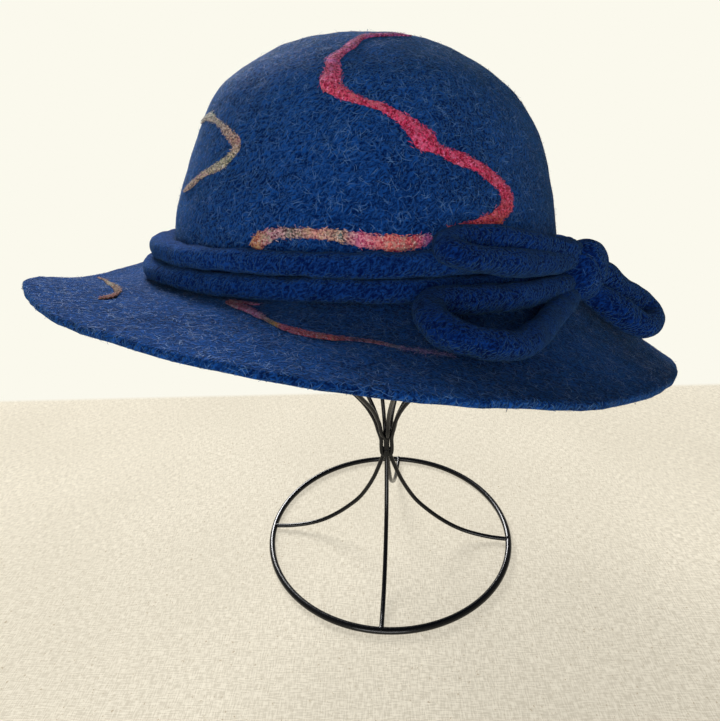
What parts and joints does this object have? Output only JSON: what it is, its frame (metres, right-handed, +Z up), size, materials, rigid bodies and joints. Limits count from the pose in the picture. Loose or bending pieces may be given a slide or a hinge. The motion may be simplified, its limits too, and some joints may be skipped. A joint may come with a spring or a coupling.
{
  "type": "cloche hat on a wire hat stand",
  "caption": "Felt cloche hat with a rolled cord band, a side bow and felted-in yarns, resting on the domed head of a plain black wire stand with a round base.",
  "frame": {"origin": "middle of the bounding box at floor level, under the hat; the stand's base ring lies on z = 0", "axes": "+Z up, -Y towards the viewer of the picture, +X towards the side with the bow"},
  "size_m": [0.3112, 0.3132, 0.3021],
  "materials": {
    "felt": "hand-felted wool, blue, fuzzy and matt",
    "cord_felt": "rolled felt cord, blue, matt",
    "yarn": "slubby mixed yarn felted into the surface",
    "wire": "satin black paint on steel wire"
  },
  "bodies": {
    "root": {"felt_body": "felt", "band_cord_upper": "cord_felt", "band_cord_lower": "cord_felt", "bow_loop_upper": "cord_felt", "bow_loop_lower": "cord_felt", "bow_loop_right": "cord_felt", "bow_knot": "cord_felt", "yarn_red_crown": "yarn", "yarn_mixed_crown": "yarn", "yarn_tan_crown": "yarn", "yarn_brim_front": "yarn", "yarn_brim_left": "yarn", "wire_stand": "wire"}
  },
  "joints": []
}
